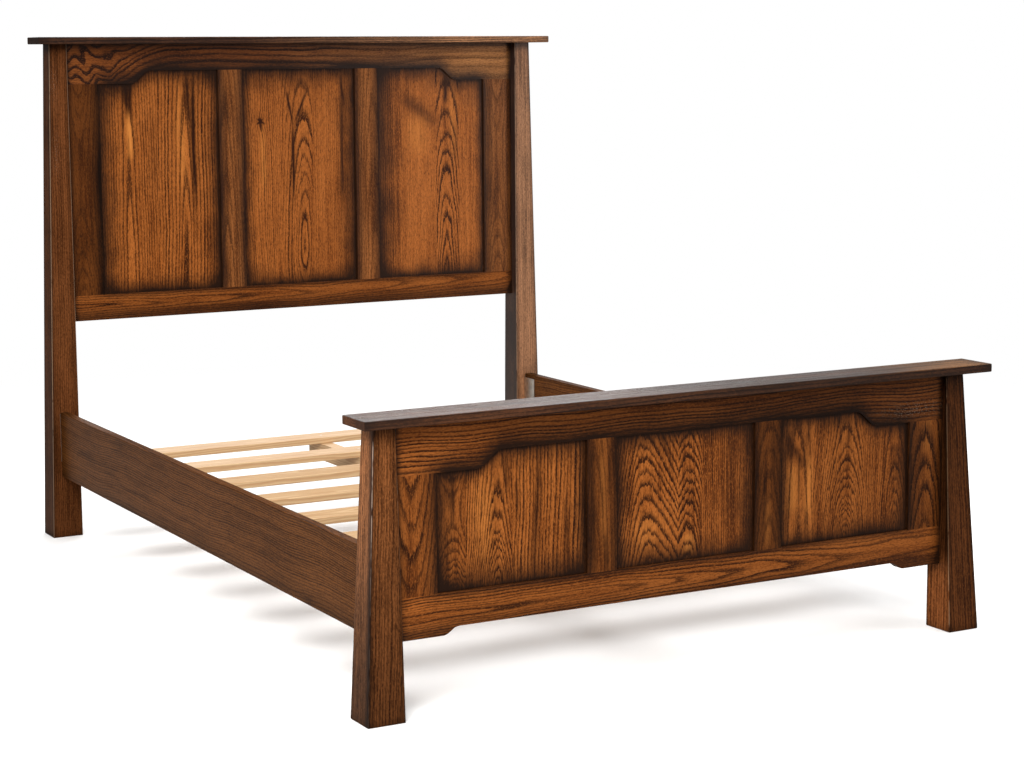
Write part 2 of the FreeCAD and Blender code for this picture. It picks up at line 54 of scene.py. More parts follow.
class Graph:
    def __init__(self, name):
        self.mat = bpy.data.materials.new(name)
        self.mat.use_nodes = True
        self.nt = self.mat.node_tree
        self.nt.nodes.clear()
        self.out = self.nt.nodes.new("ShaderNodeOutputMaterial")
        self.bsdf = self.nt.nodes.new("ShaderNodeBsdfPrincipled")
        self.nt.links.new(self.bsdf.outputs[0], self.out.inputs[0])
        tc = self.nt.nodes.new("ShaderNodeTexCoord")
        sep = self.nt.nodes.new("ShaderNodeSeparateXYZ")
        self.nt.links.new(tc.outputs["Object"], sep.inputs[0])
        # rest-frame millimetres
        self.X, self.Y, self.Z = (V(self, sep.outputs[i]) * 1000.0 for i in range(3))

    def feed(self, socket, value):
        if isinstance(value, V):
            value = value.x
        if isinstance(value, (int, float)):
            socket.default_value = float(value)
        else:
            self.nt.links.new(value, socket)

    def m(self, op, a, b=None, c=None, clamp=False):
        n = self.nt.nodes.new("ShaderNodeMath")
        n.operation = op
        n.use_clamp = clamp
        for i, v in enumerate((a, b, c)):
            if v is not None:
                self.feed(n.inputs[i], v)
        return V(self, n.outputs[0])

    def absv(self, a):
        return self.m("ABSOLUTE", a)

    def sqrt(self, a):
        return self.m("SQRT", a)

    def exp(self, a):
        return self.m("EXPONENT", a)

    def floor(self, a):
        return self.m("FLOOR", a)

    def fract(self, a):
        return self.m("FRACT", a)

    def mn(self, a, b):
        return self.m("MINIMUM", a, b)

    def mx(self, a, b):
        return self.m("MAXIMUM", a, b)

    def power(self, a, b):
        return self.m("POWER", a, b)

    def sat(self, a):
        return self.m("ADD", a, 0.0, clamp=True)

    def ramp(self, v, a, b, lo=0.0, hi=1.0, smooth=True):
        """lo below a, hi above b."""
        n = self.nt.nodes.new("ShaderNodeMapRange")
        n.interpolation_type = "SMOOTHSTEP" if smooth else "LINEAR"
        n.clamp = True
        self.feed(n.inputs[0], v)
        for i, x in zip((1, 2, 3, 4), (a, b, lo, hi)):
            self.feed(n.inputs[i], x)
        return V(self, n.outputs[0])

    def vec(self, a, b, c):
        n = self.nt.nodes.new("ShaderNodeCombineXYZ")
        for i, v in enumerate((a, b, c)):
            self.feed(n.inputs[i], v)
        return n.outputs[0]

    def noise(self, a, b, c, detail=2.0, rough=0.5, distort=0.0):
        """About 0 to 1, centred on 0.5."""
        n = self.nt.nodes.new("ShaderNodeTexNoise")
        n.noise_dimensions = "3D"
        self.nt.links.new(self.vec(a, b, c), n.inputs["Vector"])
        n.inputs["Scale"].default_value = 1.0
        n.inputs["Detail"].default_value = detail
        n.inputs["Roughness"].default_value = rough
        n.inputs["Distortion"].default_value = distort
        return V(self, n.outputs[0])

    def rand(self, a, seed):
        n = self.nt.nodes.new("ShaderNodeTexWhiteNoise")
        n.noise_dimensions = "2D"
        self.nt.links.new(self.vec(a, seed, 0.0), n.inputs["Vector"])
        return V(self, n.outputs[0])

    def mix(self, f, a, b, kind="MIX"):
        """Colours; a or b may be a tuple or a socket."""
        n = self.nt.nodes.new("ShaderNodeMix")
        n.data_type = "RGBA"
        n.blend_type = kind
        n.clamp_factor = True
        self.feed(n.inputs[0], f)
        for sock, v in ((n.inputs[6], a), (n.inputs[7], b)):
            if isinstance(v, tuple):
                sock.default_value = (*v, 1.0)
            else:
                self.nt.links.new(v, sock)
        return n.outputs[2]

    def bump(self, height, distance, strength=1.0):
        n = self.nt.nodes.new("ShaderNodeBump")
        n.inputs["Strength"].default_value = strength
        n.inputs["Distance"].default_value = distance
        self.feed(n.inputs["Height"], height)
        self.nt.links.new(n.outputs[0], self.bsdf.inputs["Normal"])

    def finish(self, colour, rough):
        self.nt.links.new(colour, self.bsdf.inputs["Base Color"])
        self.feed(self.bsdf.inputs["Roughness"], rough)


# ---------------------------------------------------------------- the object's own lines, in millimetres
HEAD_H, FOOT_H = 1456.0, 656.0
POST_IN, STILE_IN = 734.0, 635.0
MULL_IN, MULL_OUT = 186.33, 262.33
FOOT_BOTTOM, HEAD_BOTTOM = 258.0, 706.0


def arch(g, ax, top):
    """Lower edge of a top rail at |x|."""
    return g.ramp(ax, 468.0, 543.0, top - 97.0, top - 135.0)


# ---------------------------------------------------------------- wood
LIGHT = (0.345, 0.106, 0.0210)
AMBER = (0.172, 0.0440, 0.0062)
BROWN = (0.074, 0.0180, 0.0030)
GRAIN = (0.0200, 0.0056, 0.0016)
# dark brown for the sprayed edge shading, also used as painted shade
BURN_AND_SHADE = (0.0135, 0.0054, 0.0027)
HONEY = (0.56, 0.205, 0.042)
# the thicker members took the stain browner
POST_LIGHT = (0.205, 0.0700, 0.0220)
POST_MID = (0.112, 0.0365, 0.0105)
POST_DARK = (0.050, 0.0160, 0.0046)


def pick(g, steps, values):
    """One value per board, changed at each step across the panel."""
    out = values[0]
    for st, a, b in zip(steps, values, values[1:]):
        if b != a:
            out = st * (b - a) + out
    return out


DEFAULT = dict(c=0.0, slant=0.0, z0=0.0, w0=40.0, t=0.0, q=0.0, sp=5.0, al=1.0, ar=1.0, lw=0.58, wob=1.0, wander=8.0, tone=0.0, bold=1.0, rag=0.6, pinch=0.0)


def oak(name, u, v, w, seed, boards, burn_and_shade=None, rough=0.40, spec=0.05, wear_and_highlight=None, knot=None, marks=(), specks=(), curl=None,
        cloud_amp=0.9, shade=None, brown=False, fade=None):
    """A stained, lacquered, open-grained board, or several glued side by side. u runs along the grain, v across the
    face, w into the wood.
    Each board is (where it ends along v, its figure); a figure is the line of the log's heart under the face.
    The edge function gives how far the finish has been shaded along the edges, with painted shade at joins, inner faces
    and under the caps, 0 to 1; shade multiplies the colour, partly how strong the stain came out and partly painted
    light, shade and sheen: a number, one per channel, or f(g).
    marks are streaks and clouds: (v, u, degrees from the grain, half width, half length, strength), dark, or light
    where strength is below 0.
    specks are places where dry pores show pale: (v, u, half width, half length, strength). fade softens the lines along
    the board: (u, u, how much is left).
    curl is a swirl that opens the rings out: (u, half length, size, opening, ring it opens from)."""
    g = Graph(name)
    u, v, w = u(g), v(g), w(g)
    k0 = shade if isinstance(shade, tuple) else (shade if isinstance(shade, float) else 1.0,) * 3
    light, amber, dark = (POST_LIGHT, POST_MID, POST_DARK) if brown else (LIGHT, AMBER, BROWN)
    light, amber, dark, grain, burnt_and_shaded = (tuple(c * k for c, k in zip(col, k0)) for col in (light, amber, dark, GRAIN, BURN_AND_SHADE))
    steps = [g.m("GREATER_THAN", v, end) for end, _ in boards[:-1]]
    figures = [{**DEFAULT, **f} for _, f in boards]

    def par(key):
        return pick(g, steps, [f[key] for f in figures])

    k = pick(g, steps, [float(i) for i in range(len(boards))])
    su = k * 5.37 + seed * 7.31 if steps else seed * 7.31
    # slow wandering of the heart line, then the ripple that red oak shows on a flat-sawn face, then its ragged pores
    n1 = g.noise(u / 430.0 + su, v / 300.0, w / 300.0 + su, 1.0, 0.5) - 0.5
    n2 = g.noise(u / 110.0 + su, v / 13.0, w / 13.0 + 3.0, 2.0, 0.55) - 0.5
    n3 = g.noise(u / 150.0 + su, v / 60.0, w / 60.0 + 8.0, 1.0, 0.5) - 0.5
    n4 = g.noise(u / 52.0 + su, v / 3.4, w / 3.4 + 5.0, 2.0, 0.6) - 0.5
    wob = par("wob")
    du = u - par("z0")
    uu = du + n2 * wob * 26.0
    heart = par("w0") + uu * par("t") - uu * uu * par("q") + n1 * par("wander") * 2.5
    vv = v - par("c") - du * par("slant") + n1 * par("wander") * 4.0 + n3 * wob * 7.0
    if curl is not None:
        cu, half, size, loose, mid = curl
        e = (u - cu) / half
        bell = g.exp(e * e * -1.0)
        vv = vv + (g.noise((u + v * 0.35) / 40.0 + su, v / 70.0, 1.0, 0.0) - 0.5) * bell * size - g.ramp(u, cu, cu + half * 3.0, 0.0, 58.0)
    al, ar = par("al"), par("ar")
    if not (al == 1.0 and ar == 1.0):
        vv = g.mx(vv, 0.0) * ar + g.mn(vv, 0.0) * al
    if any(f["pinch"] for f in figures):
        vv = vv * (du * par("pinch") + 1.0)
    ww = heart + w
    r = g.sqrt(vv * vv + ww * ww)
    if knot is not None:
        ku, kv, kr = knot
        d2 = ((u - ku) * (u - ku)) * 0.40 + (v - kv) * (v - kv)
        near_knot = g.exp(d2 / (-2.0 * kr * kr))
        r = r + near_knot * (kr * 0.7)
    if curl is not None:
        r = (r - mid) * (1.0 - bell * loose) + mid
    ring = r / par("sp") + n4 * par("rag") + su
    ring = ring + (g.noise(ring * 0.23, su, 0.0, 1.0) - 0.5) * 2.2
    s = g.fract(ring)
    each = g.rand(g.floor(ring), seed + 0.37)
    lw = par("lw")
    rise = g.ramp(s, 0.0, 0.09)
    fall = g.ramp(s, lw * 0.30, (each * 0.55 + 0.72) * lw + 0.08, 1.0, 0.0)
    early = rise * fall * g.ramp(each, 0.0, 1.0, 0.58, 1.0, smooth=False)
    # pores: dashes along the grain, crowded in the early wood
    pore_n = g.noise(u / 8.0 + su, v / 0.55, w / 0.55, 1.0, 0.5)
    pores = g.ramp(pore_n, 0.55, 0.70)
    dash = g.noise(u / 13.0 + su, v / 2.5, w / 2.5 + 1.0, 1.0, 0.5)
    fibre = g.noise(u / 75.0 + su, v / 2.6, w / 2.6, 2.0, 0.6)
    streak = g.noise(u / 420.0 + su, v / 13.0, w / 13.0 + su, 2.0, 0.5)
    cloud = g.noise(u / 190.0 + su, v / 70.0 + su, w / 70.0, 1.0, 0.5)
    tone = g.sat(streak * 1.25 + cloud * cloud_amp + fibre * 0.40 - 0.80 + par("tone"))
    col = g.mix(tone, light, amber)
    col = g.mix(g.ramp(tone, 0.50, 1.0, 0.0, 0.85), col, dark)
    col = g.mix(g.ramp(dash, 0.32, 0.46, 0.36, 0.0), col, light)
    strength = par("bold")
    if fade is not None:
        strength = g.ramp(u, fade[0], fade[1], 1.0, fade[2]) * strength
    if curl is not None:
        strength = (bell * 0.7 + 1.0) * strength
    lines = g.sat(early * (pores * 0.20 + dash * 0.55 + fibre * 0.55 + 0.38) * strength)
    col = g.mix(lines, col, grain)
    col = g.mix(g.ramp(dash, 0.50, 0.70, 0.0, 0.50), col, dark)
    col = g.mix(g.ramp(fibre, 0.53, 0.74, 0.0, 0.46), col, grain)
    col = g.mix(pores * 0.30, col, grain)
    fleck = g.noise(u / 6.5 + su, v / 2.6, w / 2.6 + 4.0, 1.0, 0.6)
    col = g.mix(g.ramp(fleck, 0.54, 0.72, 0.0, 0.46), col, light)
    col = g.mix(g.ramp(fleck, 0.28, 0.45, 0.46, 0.0), col, grain)
    if knot is not None:
        star = g.noise(u / 8.0, v / 4.5, 2.0, 2.0, 0.6) - 0.5
        core = g.ramp(g.sqrt(d2) + star * (kr * 1.2), kr * 0.20, kr * 0.60, 0.95, 0.0)
        col = g.mix(near_knot * 0.30, col, dark)
        col = g.mix(core, col, grain)
    for mv, mu, deg, half_w, half_l, amount in marks:
        ca, sa = math.cos(math.radians(deg)), math.sin(math.radians(deg))
        dv, dl = v - mv + n3 * (half_w * 1.2) + n4 * (half_w * 0.9), u - mu
        across = (dv * ca + dl * sa) / half_w
        along = (dl * ca - dv * sa) / half_l
        m = g.exp((across * across + along * along * along * along) * -1.0)
        if amount > 0.0:
            col = g.mix(m * (fibre * 0.7 + dash * 0.5 + 0.30) * amount, col, grain)
        else:
            col = g.mix(m * (1.0 - lines) * (fibre * -0.5 + 1.15) * -amount, col, HONEY)
    # edges and joins go towards the dark colour: sprayed shading of the finish plus painted shade
    if burn_and_shade is not None:
        b = burn_and_shade(g)
        col = g.mix(g.sat(b * (cloud * 0.40 + fibre * 0.30 + dash * 0.25 + 0.52)), col, burnt_and_shaded)
    # a pale line down the post corners: painted highlight on the eased edge, broken into chips of wear
    if wear_and_highlight is not None:
        col = g.mix(wear_and_highlight(g), col, (0.36, 0.235, 0.155))
    for mv, mu, half_w, half_l, amount in specks:
        a, b = (v - mv) / half_w, (u - mu) / half_l
        dot = g.ramp(g.noise(u / 3.6 + su, v / 2.2, 9.0, 0.0), 0.60, 0.74)
        col = g.mix(g.exp((a * a + b * b) * -1.0) * dot * amount, col, (0.52, 0.40, 0.31))
    # the shade multiply: stain strength together with painted light, shade and sheen
    if callable(shade):
        sh = shade(g)
        col = g.mix(1.0, col, g.vec(*(sh if isinstance(sh, tuple) else (sh,) * 3)), "MULTIPLY")
    height = pores * -0.8 - early * 0.35 + dash * 0.3
    g.bump(height, 0.00009, 0.6)
    base = rough(g) if callable(rough) else rough
    g.finish(col, g.sat(early * 0.05 + pores * 0.08 + streak * 0.10 + (base - 0.07)))
    g.bsdf.inputs["IOR"].default_value = 1.5
    g.bsdf.inputs["Specular IOR Level"].default_value = spec
    return g.mat


def gx(g):
    return g.X


def gy(g):
    return g.Y


def gz(g):
    return g.Z


# ---------------------------------------------------------------- sprayed shading along the edges, painted shade at joins, and painted corner highlights
def near(g, d, k):
    """1 at d = 0, a soft sprayed falloff over about k."""
    e = g.mx(d, 0.0) / k
    return g.exp(e * e * -1.0)


def sprayed(g, d, wide, tight, a=0.82, b=0.14):
    """The dark edge: a broad sprayed fade and a darker line close in."""
    return near(g, d, wide) * a + near(g, d, tight) * b


def panel_burn(x0, x1, z0, top, ks, seed=0.0):
    """ks: how far the shading reaches in from the left, right, bottom and top."""

    def f(g):
        wob = g.noise(g.X / 80.0 + seed, g.Z / 80.0, 0.0, 1.0) - 0.5
        wob = wob * 1.2 + 1.0
        dt = arch(g, g.absv(g.X), top) - g.Z
        clear = None
        for d, k in zip((g.X - x0, x1 - g.X, g.Z - z0, dt), ks):
            e = 1.0 - sprayed(g, d, wob * k, 9.0)
            clear = e if clear is None else clear * e
        return g.sat((1.0 - clear) * 1.06)

    return f


def stile_burn_and_painted_shade(z0, top, base=0.10):
    def f(g):
        ax = g.absv(g.X)
        wob = g.noise(g.X / 60.0, g.Z / 110.0, 7.0, 1.0) - 0.5
        inside = sprayed(g, ax - STILE_IN + wob * 14.0, 26.0, 8.0, 0.66, 0.14) * g.ramp(g.Z, z0 - 30.0, z0 + 10.0)
        # darker next to the post: sprayed shading plus painted shade from the post
        outside = sprayed(g, POST_IN - ax, 17.0, 6.0, 0.55, 0.30)
        return g.sat(inside + outside + base)

    return f


def mullion_burn(g):
    ax = g.absv(g.X)
    wob = g.noise(g.X / 50.0, g.Z / 120.0, 3.0, 1.0) - 0.5
    return g.sat(sprayed(g, ax - MULL_IN + wob * 10.0, 23.0, 8.0, 0.64, 0.14) + sprayed(g, MULL_OUT - ax - wob * 10.0, 23.0, 8.0, 0.64, 0.14) + 0.08)


def top_rail_burn_and_painted_shade(top):
    def f(g):
        ax = g.absv(g.X)
        wob = g.noise(g.X / 120.0, g.Z / 60.0, 4.0, 1.0) - 0.5
        d = g.Z - arch(g, ax, top)
        low = sprayed(g, d + wob * 14.0, 39.0, 9.0, 0.80, 0.12) * g.ramp(ax, 600.0, 690.0, 1.0, 0.2)
        # darker just under the cap: painted shade
        cap = near(g, top - 20.0 - g.Z, 12.0) * 0.72
        # darker at the posts: sprayed shading plus painted shade at the join
        end = near(g, POST_IN - ax, 14.0) * 0.8
        return g.sat(low + cap + end + 0.10)

    return f


def bottom_rail_burn_and_painted_shade(zt, zb):
    def f(g):
        ax = g.absv(g.X)
        up = near(g, zt - g.Z, 11.0) * g.ramp(ax, 600.0, 700.0, 0.62, 0.1)
        low = near(g, g.Z - zb - 8.0, 24.0) * 0.70
        # darker at the posts: sprayed shading plus painted shade at the join
        end = near(g, POST_IN - ax, 14.0) * 0.75
        return g.sat(up + low + end + 0.08)

    return f


def post_outer(g, h):
    return g.m("MULTIPLY_ADD", g.Z, -37.0 / (h - 20.0), 823.0)


def post_edges(g, h, y_plumb, ydir):
    """Distance from the nearest two faces across the bed, and along it."""
    ax = g.absv(g.X)
    yd = (g.Y - y_plumb) * ydir
    ydepth = g.m("MULTIPLY_ADD", g.Z, -31.0 / (h - 20.0), 89.0)
    return g.mn(ax - POST_IN, post_outer(g, h) - ax), g.mn(yd, ydepth - yd)


def post_burn_and_painted_shade(h, y_plumb, ydir, painted_side_shade=0.0):
    def f(g):
        ex, ey = post_edges(g, h, y_plumb, ydir)
        edge = near(g, g.mx(ex, ey), 10.0)
        # the outward side is shaded darker towards its front corner
        corner = near(g, g.m("MULTIPLY_ADD", g.Z, -31.0 / (h - 20.0), 89.0) - (g.Y - y_plumb) * ydir, 22.0) if ydir < 0.0 else 0.0
        side = g.ramp(post_outer(g, h) - g.absv(g.X), 1.0, 6.0, 1.0, 0.0)
        # painted shade on the inner faces, faded out low down
        inner_face_shade = g.ramp(g.absv(g.X) - POST_IN, 0.3, 1.6, 0.42 if ydir < 0.0 else 0.85, 0.0) * g.ramp(g.Z, 120.0, 210.0, 0.1, 1.0)
        # besides the sprayed edges: painted shade on the outward side of the headboard posts, just under the cap and at
        # the floor
        return g.sat(edge * 0.40 + side * (corner * 0.55 + painted_side_shade) + inner_face_shade + near(g, h - 20.0 - g.Z, 20.0) * 0.6 + near(g, g.Z, 14.0) * 0.4 + 0.10)

    return f


# pale line down the eased corners of a post: painted highlight, broken by noise into chips of wear
def post_wear_and_highlight(h, y_plumb, ydir, amount=0.5, chips=0.40, low=1.0):
    def f(g):
        ex, ey = post_edges(g, h, y_plumb, ydir)
        chip = g.noise(g.Z / 31.0, g.X / 9.0, g.Y / 9.0, 2.0)
        high = g.ramp(g.Z, h * 0.40, h * 0.72, low, 1.0) if low < 1.0 else 1.0
        return g.ramp(g.mx(ex, ey), 0.5, 2.6, 1.0, 0.0) * g.ramp(chip, chips, chips + 0.22, 0.0, amount) * high

    return f


def cap_burn(g):
    ax = g.absv(g.X)
    blot = g.noise(g.X / 160.0, g.Y / 50.0, 0.0, 2.0)
    return g.sat(near(g, 830.5 - ax, 26.0) * 0.25 + blot * 0.30 + 0.50)


# ---------------------------------------------------------------- boards
def put(name, mat):
    o = nodes[name]
    o.data.materials.clear()
    o.data.materials.append(mat)


SPRAY = {
    "footboard_panel_left": (46.0, 29.0, 44.0, 28.0), "footboard_panel_center": (32.0, 46.0, 38.0, 30.0), "footboard_panel_right": (24.0, 32.0, 33.0, 30.0),
    "headboard_panel_left": (42.0, 34.0, 36.0, 40.0), "headboard_panel_center": (26.0, 46.0, 36.0, 42.0), "headboard_panel_right": (58.0, 24.0, 36.0, 46.0),
}

FIGURE = {
    "footboard_panel_left": [
        (-562.0, dict(c=-596.0, z0=400.0, w0=62.0, t=0.08, q=0.0012, sp=4.6, wander=3.0, tone=-0.02)),
        (-446.0, dict(c=-484.0, z0=470.0, w0=34.0, t=0.07, q=0.0005, sp=4.6, wob=2.0, wander=4.0, tone=-0.06, rag=0.9, bold=1.25)),
        (-262.0, dict(c=-640.0, z0=400.0, w0=40.0, t=0.05, sp=9.0, lw=0.55, slant=0.03, wander=8.0, tone=-0.10, bold=1.2)),
    ],
    "footboard_panel_center": [
        (-19.0, dict(c=-118.0, slant=-0.07, z0=559.0, w0=112.0, t=0.29, sp=9.5, al=2.3, ar=1.35, pinch=0.0016, wander=2.0, tone=0.02, bold=1.3, wob=1.2)),
        (44.0, dict(c=8.0, z0=559.0, w0=90.0, t=0.25, sp=6.8, al=1.5, ar=1.7, pinch=0.0010, lw=0.62, wander=2.0, wob=1.4, tone=0.04, bold=1.45)),
        (186.0, dict(c=-260.0, z0=420.0, w0=30.0, t=0.03, sp=5.2, lw=0.5, wander=4.0, wob=1.2, tone=0.24, bold=1.1, rag=0.8)),
    ],
    "footboard_panel_right": [
        (357.0, dict(c=312.0, z0=420.0, w0=16.0, t=0.06, sp=17.0, lw=0.32, wander=5.0, tone=-0.22)),
        (505.0, dict(c=453.0, z0=540.0, w0=58.0, t=0.06, q=0.0006, sp=4.8, wob=1.5, wander=3.0, tone=0.06, rag=0.8, bold=1.1)),
        (635.0, dict(c=598.0, z0=500.0, w0=30.0, t=0.08, q=0.0003, sp=5.2, wander=3.0, tone=0.10)),
    ],
    "headboard_panel_left": [
        (-455.0, dict(c=-545.0, z0=1290.0, w0=14.0, t=0.022, sp=8.0, lw=0.5, wander=3.0, tone=-0.04)),
        (-262.0, dict(c=-366.0, slant=0.02, z0=1250.0, w0=20.0, t=0.03, sp=9.0, lw=0.6, wander=5.0, tone=-0.08, bold=1.2)),
    ],
    "headboard_panel_center": [
        (-62.0, dict(c=-210.0, z0=1200.0, w0=40.0, t=0.02, sp=6.0, lw=0.45, wander=6.0, tone=-0.06, bold=0.85)),
        (44.0, dict(c=12.0, z0=1330.0, w0=58.0, t=0.10, q=0.00006, sp=9.0, lw=0.45, wander=5.0, wob=1.6, tone=-0.06, bold=1.2)),
        (186.0, dict(c=-150.0, z0=1100.0, w0=30.0, t=0.02, sp=5.5, lw=0.4, wander=5.0, tone=-0.08, bold=0.7)),
    ],
    "headboard_panel_right": [
        (346.0, dict(c=90.0, z0=1100.0, w0=30.0, t=0.02, sp=5.5, lw=0.5, tone=0.14)),
        (466.0, dict(c=200.0, z0=1100.0, w0=30.0, t=0.02, sp=5.0, lw=0.35, tone=-0.14, bold=0.6)),
        (548.0, dict(c=504.0, z0=1350.0, w0=66.0, t=0.10, q=0.00002, sp=8.4, lw=0.56, wander=3.0, wob=2.3, tone=-0.02, bold=1.5)),
        (635.0, dict(c=380.0, z0=1100.0, w0=30.0, t=0.02, sp=5.0, lw=0.4, tone=-0.04, bold=0.7)),
    ],
}

MARKS = {
    "footboard_panel_left": [
        (-386.0, 430.0, -4.0, 9.0, 150.0, 0.85), (-311.0, 360.0, 2.0, 7.0, 75.0, 0.75), (-594.0, 462.0, 0.0, 6.0, 60.0, 0.8),
        (-462.0, 505.0, 0.0, 8.0, 45.0, 0.7), (-436.0, 445.0, 2.0, 4.0, 40.0, 0.7), (-520.0, 400.0, 0.0, 24.0, 90.0, -0.30)],
    "footboard_panel_center": [
        (-52.0, 520.0, 18.0, 6.0, 50.0, 0.6), (120.0, 420.0, 0.0, 52.0, 190.0, 0.26), (12.0, 292.0, 0.0, 13.0, 24.0, -0.6), (-104.0, 330.0, 0.0, 34.0, 40.0, -0.25)],
    "footboard_panel_right": [
        (288.0, 492.0, 0.0, 13.0, 36.0, 1.1), (312.0, 468.0, 24.0, 9.0, 30.0, 0.9), (330.0, 478.0, 0.0, 14.0, 40.0, 0.45), (284.0, 330.0, -4.0, 5.0, 50.0, 0.6), (315.0, 410.0, 0.0, 2.6, 65.0, 0.9), (342.0, 530.0, -6.0, 7.0, 36.0, 0.7),
        (336.0, 305.0, 3.0, 6.0, 40.0, 0.6), (460.0, 505.0, 0.0, 5.0, 18.0, 0.7), (296.0, 392.0, 0.0, 13.0, 54.0, -0.42), (342.0, 390.0, 0.0, 10.0, 70.0, -0.38)],
    "headboard_panel_left": [
        (-549.0, 1302.0, 2.5, 7.0, 76.0, 1.25), (-538.0, 1302.0, -2.5, 6.0, 72.0, 1.2), (-541.0, 1165.0, 0.0, 9.0, 62.0, -0.75), (-343.0, 1150.0, 0.0, 8.0, 190.0, 1.25),
        (-357.0, 1270.0, 3.0, 5.0, 80.0, 1.1), (-382.0, 1150.0, 0.0, 14.0, 150.0, -0.35), (-470.0, 1120.0, 0.0, 20.0, 140.0, 0.28)],
    "headboard_panel_center": [
        (-31.0, 1245.0, 11.3, 4.0, 46.0, 1.2), (8.0, 1250.0, -24.0, 4.5, 52.0, 1.1), (-21.0, 1090.0, 0.0, 4.5, 112.0, 1.25),
        (141.0, 1120.0, 0.0, 6.0, 170.0, 1.0), (146.0, 1290.0, 6.0, 5.0, 44.0, 1.1), (-120.0, 1090.0, 0.0, 8.0, 90.0, -0.4),
        (-126.0, 1203.0, 58.0, 2.6, 15.0, 1.4), (-129.0, 1202.0, -52.0, 2.6, 13.0, 1.4), (-128.0, 1196.0, 8.0, 3.0, 20.0, 1.3)],
    "footboard_mullion_left": [
        (-247.0, 400.0, 1.0, 8.0, 150.0, 0.75), (-222.0, 430.0, 2.0, 9.0, 120.0, -0.19), (-206.0, 480.0, -2.0, 4.0, 60.0, 0.6), (-214.0, 300.0, 3.0, 5.0, 46.0, 0.7)],
    "footboard_mullion_right": [
        (236.0, 470.0, 1.0, 9.0, 70.0, 0.55), (214.0, 400.0, -2.0, 5.0, 90.0, 0.5), (222.0, 320.0, 0.0, 10.0, 60.0, -0.13)],
    "footboard_stile_right": [
        (688.0, 490.0, 0.0, 12.0, 46.0, -0.15), (668.0, 450.0, 2.0, 6.0, 60.0, 0.5)],
    "headboard_panel_right": [
        (410.0, 1228.0, 53.0, 24.0, 75.0, 0.75), (503.0, 1285.0, 0.0, 9.0, 40.0, 1.15), (404.0, 1150.0, 0.0, 36.0, 60.0, -0.25), (530.0, 1180.0, 0.0, 12.0, 120.0, -0.25)],
}

# how strong the stain came out on each member, mixed with painted light: the footboard's right-hand members darker as
# painted shade, the headboard's right-hand members and right post lighter and greyer as a painted sheen
STAIN_AND_PAINTED_LIGHT = {
    "footboard_stile_left": 0.92, "footboard_stile_right": 0.58, "footboard_mullion_left": 0.72, "footboard_mullion_right": 0.47,
    "headboard_stile_left": 0.45, "headboard_stile_right": (0.74, 0.82, 0.98), "headboard_mullion_left": (0.92, 1.06, 1.45), "headboard_mullion_right": (0.94, 1.08, 1.5),
    "headboard_post_right": (1.95, 2.70, 4.2),
    "headboard_bottom_rail": 0.85,
    "footboard_panel_left": 0.98, "footboard_panel_center": 1.08, "footboard_panel_right": 0.84, "headboard_panel_right": 1.08,
}


# painted shade: the post darker towards the floor
def head_left_post_painted_shade(g):
    e = g.ramp(g.Z, 80.0, 600.0, 0.66, 0.91)
    return e, e * 0.975, e * 0.95


# painted light: the front lighter towards the top, the outward side much lighter and greyer towards the top as a
# painted sheen
def foot_left_post_painted_light(g):
    side = g.ramp(post_outer(g, FOOT_H) + g.X, 0.6, 3.0, 1.0, 0.0)
    front = g.ramp(g.Z, 60.0, 600.0, 0.62, 1.42, smooth=False)
    flank = g.ramp(g.Z, 60.0, 600.0, 0.66, 2.90, smooth=False)
    both = front + (flank - front) * side
    return both, both * (side * 0.16 + 1.0), both * (side * 0.50 + 0.93)


# painted shade: the post darker towards the top, with the lower inner face lightened
def foot_right_post_painted_shade(g):
    low = g.ramp(g.X - POST_IN, 0.3, 1.6, 1.0, 0.0) * g.ramp(g.Z, 120.0, 210.0, 1.0, 0.0)
    e = g.ramp(g.Z, 60.0, 600.0, 0.62, 0.39, smooth=False) + low * 1.0
    return e, e * 0.93, e * 0.80


# painted light: the end faces lighter, the top lighter and golden at the right end, the cap darker towards the right as
# painted shade
def foot_cap_painted_light(g):
    top = g.ramp(FOOT_H - g.Z, 0.3, 1.5, 1.0, 0.0) * g.ramp(g.X, 420.0, 790.0)
    e = g.ramp(g.absv(g.X), 829.4, 830.2, 0.0, 1.6) + g.ramp(g.X, -600.0, 200.0, 0.90, 0.62)
    return e + top * 2.2, e + top * 3.0, e + top * 2.8


# painted shade: the rail darker towards the right
def foot_top_rail_painted_shade(g):
    return g.ramp(g.X, -740.0, 420.0, 1.15, 0.50, smooth=False)


# painted sheen: the rail lighter and greyer towards the right
def head_top_rail_painted_sheen(g):
    e = g.ramp(g.X, -100.0, 600.0, smooth=False)
    return e * 0.50 + 0.76, e * 0.98 + 0.74, e * 1.85 + 0.76


# painted light: the rail lighter at the left end
def foot_bottom_rail_painted_light(g):
    return g.ramp(g.X, -740.0, -560.0, 1.25, 0.86)


# painted sheen: the cap much lighter and greyer towards the right
def head_cap_painted_sheen(g):
    e = g.ramp(g.X, -200.0, 820.0, smooth=False)
    return e * 4.2 + 0.62, e * 6.0 + 0.62, e * 8.2 + 0.66


def cap_rough(top):
    """The upper face shows the light in streaks; the edges are rubbed duller."""

    def f(g):
        streak = g.noise(g.X / 240.0, g.Y / 5.0, 3.0, 2.0, 0.6)
        face = g.ramp(top - g.Z, 0.3, 1.5, 1.0, 0.0) * g.ramp(g.X, 420.0, 790.0, 1.0, 0.35)
        return 0.92 - face * g.ramp(streak, 0.34, 0.66, 0.66, 0.38)

    return f


